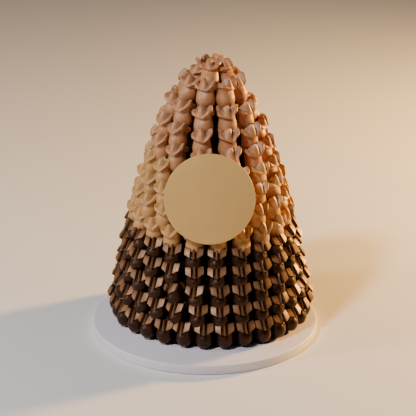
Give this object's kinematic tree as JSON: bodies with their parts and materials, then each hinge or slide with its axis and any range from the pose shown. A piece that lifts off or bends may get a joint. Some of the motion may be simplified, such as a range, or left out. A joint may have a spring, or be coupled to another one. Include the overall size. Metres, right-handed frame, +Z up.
{
  "type": "chocolate pyramid",
  "caption": "Tall cone of small pouch-shaped chocolates in dark, caramel and milk bands on a round white cake board, with a thin round plaque leaning on its front.",
  "frame": {"origin": "centre of the round board's underside, on the surface it stands on", "axes": "+Z up along the pyramid's height, -Y towards the front, where the plaque leans, and +X to the right seen from the front"},
  "size_m": [0.3, 0.3031, 0.3692],
  "materials": {
    "white_board": "matt white wrapped board with rounded rims",
    "dark_chocolate": "satin dark chocolate with a bronze sheen",
    "caramel_chocolate": "satin golden caramel chocolate",
    "milk_chocolate": "satin pale milk chocolate",
    "plaque_chocolate": "smooth golden beige chocolate"
  },
  "bodies": {
    "root": {"cake_board": "white_board", "dark_course_1": "dark_chocolate", "dark_course_2": "dark_chocolate", "dark_course_3": "dark_chocolate", "dark_course_4": "dark_chocolate", "dark_course_5": "dark_chocolate", "caramel_course_6": "caramel_chocolate", "caramel_course_7": "caramel_chocolate", "caramel_course_8": "caramel_chocolate", "caramel_course_9": "caramel_chocolate", "milk_course_10": "milk_chocolate", "milk_course_11": "milk_chocolate", "milk_course_12": "milk_chocolate", "milk_course_13": "milk_chocolate", "milk_course_14": "milk_chocolate", "plaque": "plaque_chocolate"}
  },
  "joints": []
}
